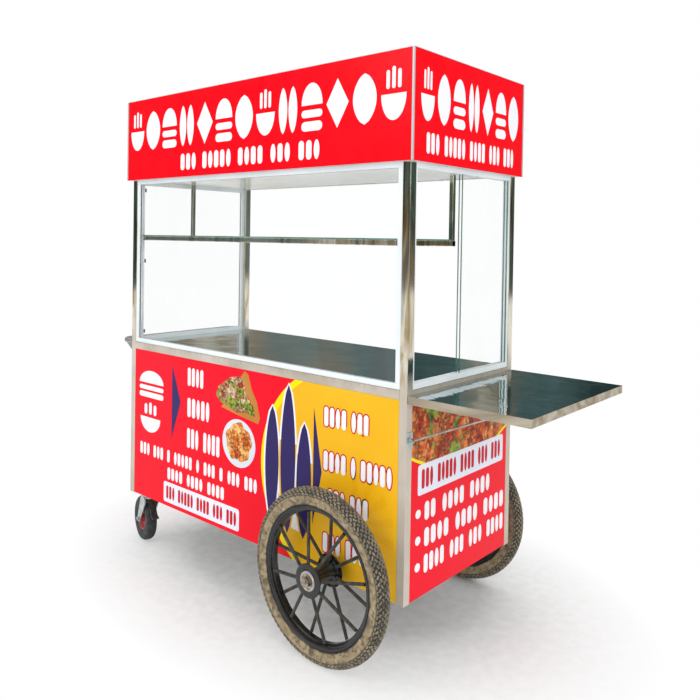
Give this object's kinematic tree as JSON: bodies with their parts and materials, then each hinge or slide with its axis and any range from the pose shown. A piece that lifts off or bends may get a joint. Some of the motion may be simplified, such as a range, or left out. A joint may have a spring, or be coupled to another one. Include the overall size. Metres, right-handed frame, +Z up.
{
  "type": "push vending cart",
  "caption": "wheeled street food cart with panelled cabinet, glazed stainless counter, sign box roof, fold-down end tray, spoked side wheels and swivel casters",
  "frame": {"origin": "on the ground, under the middle of the overall bounding box", "axes": "X along the cart towards the fold-down tray, Y across it with the glazed serving side at -Y, Z up"},
  "size_m": [2.012, 0.974, 1.94],
  "materials": {
    "frame_steel": "polished stainless square tube with film haze on the lower cabinet",
    "polished_steel": "mirror polished stainless sheet",
    "brushed_sheet": "plain stainless sheet and rod",
    "red_panel": "gloss printed red composite sheet",
    "white_profile": "white powder coated aluminium profile",
    "glass": "clear float glass with green edges",
    "dark_clip": "dark rubber glazing clip",
    "handle_steel": "grey steel tube",
    "axle_steel": "machined bright steel, lightly weathered",
    "black_steel": "black painted steel",
    "tyre": "dusty block tread rubber with tan sidewall",
    "zinc_steel": "zinc plated pressed steel",
    "caster_rubber": "black ribbed caster tyre",
    "red_rim": "red painted rim"
  },
  "bodies": {
    "root": {"corner_posts": "frame_steel", "bottom_rails": "frame_steel", "counter_rails": "frame_steel", "cabinet_floor": "brushed_sheet", "front_panel": "red_panel", "rear_skirt": "red_panel", "end_panels": "red_panel", "door_tracks": "frame_steel", "counter_top": "polished_steel", "window_frames": "white_profile", "front_glass": "glass", "left_glass": "glass", "glass_clips": "dark_clip", "pane_tracks": "white_profile", "sign_frame": "white_profile", "roof_beams": "frame_steel", "sign_panels_long": "red_panel", "sign_panels_end": "red_panel", "sign_trims": "white_profile", "roof_sheet": "white_profile", "ceiling_sheet": "polished_steel", "shelf_frame": "frame_steel", "shelf_glass": "glass", "tray_hinge_fixed": "brushed_sheet", "tray_pins": "brushed_sheet", "stay_brackets": "brushed_sheet", "push_handle": "handle_steel", "wheel_axle": "axle_steel", "axle_clamps": "axle_steel", "axle_collars": "black_steel", "axle_nuts": "axle_steel", "wheel_bearings": "axle_steel", "caster_heads": "zinc_steel", "frame_bolts": "axle_steel"},
    "rear_door_left": {"rear_door_left": "brushed_sheet"},
    "rear_door_right": {"rear_door_right": "brushed_sheet"},
    "pane_outer": {"pane_outer": "glass"},
    "pane_inner": {"pane_inner": "glass"},
    "tray": {"tray_top": "polished_steel", "stay_catches": "brushed_sheet", "tray_hinge_moving": "brushed_sheet"},
    "tray_stay_front": {"tray_stay_front": "brushed_sheet"},
    "tray_stay_rear": {"tray_stay_rear": "brushed_sheet"},
    "front_wheel": {"front_wheel_tyre": "tyre", "front_wheel_rim": "black_steel", "front_wheel_spokes": "black_steel", "front_wheel_hub": "black_steel"},
    "front_caster_fork": {"front_caster_fork": "zinc_steel"},
    "front_caster_wheel": {"front_caster_tyre": "caster_rubber", "front_caster_rim": "red_rim"},
    "front_caster_brake": {"front_caster_brake": "black_steel"},
    "rear_wheel": {"rear_wheel_tyre": "tyre", "rear_wheel_rim": "black_steel", "rear_wheel_spokes": "black_steel", "rear_wheel_hub": "black_steel"},
    "rear_caster_fork": {"rear_caster_fork": "zinc_steel"},
    "rear_caster_wheel": {"rear_caster_tyre": "caster_rubber", "rear_caster_rim": "red_rim"},
    "rear_caster_brake": {"rear_caster_brake": "black_steel"}
  },
  "joints": [
    {"name": "rear_door_left_slide", "type": "slide", "parent": "root", "child": "rear_door_left", "axis": [1, 0, 0], "range_m": [0, 0.699]},
    {"name": "rear_door_right_slide", "type": "slide", "parent": "root", "child": "rear_door_right", "axis": [1, 0, 0], "range_m": [-0.699, 0]},
    {"name": "pane_outer_slide", "type": "slide", "parent": "root", "child": "pane_outer", "axis": [0, 1, 0], "range_m": [-0.266, 0]},
    {"name": "pane_inner_slide", "type": "slide", "parent": "root", "child": "pane_inner", "axis": [0, 1, 0], "range_m": [-0.266, 0]},
    {"name": "tray_fold", "type": "hinge", "parent": "root", "child": "tray", "pos_m": [0.599, 0, 0.855], "axis": [0, 1, 0], "range_deg": [0, 90]},
    {"name": "tray_stay_front_pivot", "type": "hinge", "parent": "root", "child": "tray_stay_front", "pos_m": [0.605, -0.311, 0.746], "axis": [0, 1, 0], "range_deg": [0, 113.8]},
    {"name": "tray_stay_rear_pivot", "type": "hinge", "parent": "root", "child": "tray_stay_rear", "pos_m": [0.605, 0.311, 0.746], "axis": [0, 1, 0], "range_deg": [0, 113.8]},
    {"name": "front_wheel_spin", "type": "hinge", "parent": "root", "child": "front_wheel", "pos_m": [0.324, -0.415, 0.281], "axis": [0, 1, 0], "continuous": true},
    {"name": "front_caster_swivel", "type": "hinge", "parent": "root", "child": "front_caster_fork", "pos_m": [-0.861, -0.255, 0.2], "axis": [0, 0, 1], "continuous": true},
    {"name": "front_caster_spin", "type": "hinge", "parent": "front_caster_fork", "child": "front_caster_wheel", "pos_m": [-0.9093, -0.24206, 0.096], "axis": [0.2588, 0.9659, 0], "continuous": true},
    {"name": "front_caster_brake_press", "type": "hinge", "parent": "front_caster_fork", "child": "front_caster_brake", "pos_m": [-0.84168, -0.26018, 0.191], "axis": [0.2588, 0.9659, 0], "range_deg": [0, 5]},
    {"name": "rear_wheel_spin", "type": "hinge", "parent": "root", "child": "rear_wheel", "pos_m": [0.324, 0.415, 0.281], "axis": [0, 1, 0], "continuous": true},
    {"name": "rear_caster_swivel", "type": "hinge", "parent": "root", "child": "rear_caster_fork", "pos_m": [-0.861, 0.255, 0.2], "axis": [0, 0, 1], "continuous": true},
    {"name": "rear_caster_spin", "type": "hinge", "parent": "rear_caster_fork", "child": "rear_caster_wheel", "pos_m": [-0.9093, 0.26794, 0.096], "axis": [0.2588, 0.9659, 0], "continuous": true},
    {"name": "rear_caster_brake_press", "type": "hinge", "parent": "rear_caster_fork", "child": "rear_caster_brake", "pos_m": [-0.84168, 0.24982, 0.191], "axis": [0.2588, 0.9659, 0], "range_deg": [0, 5]}
  ],
  "couplings": [
    {"joint": "tray_stay_front_pivot", "follows": "tray_fold", "ratio": 1.2639},
    {"joint": "tray_stay_rear_pivot", "follows": "tray_fold", "ratio": 1.2639}
  ]
}
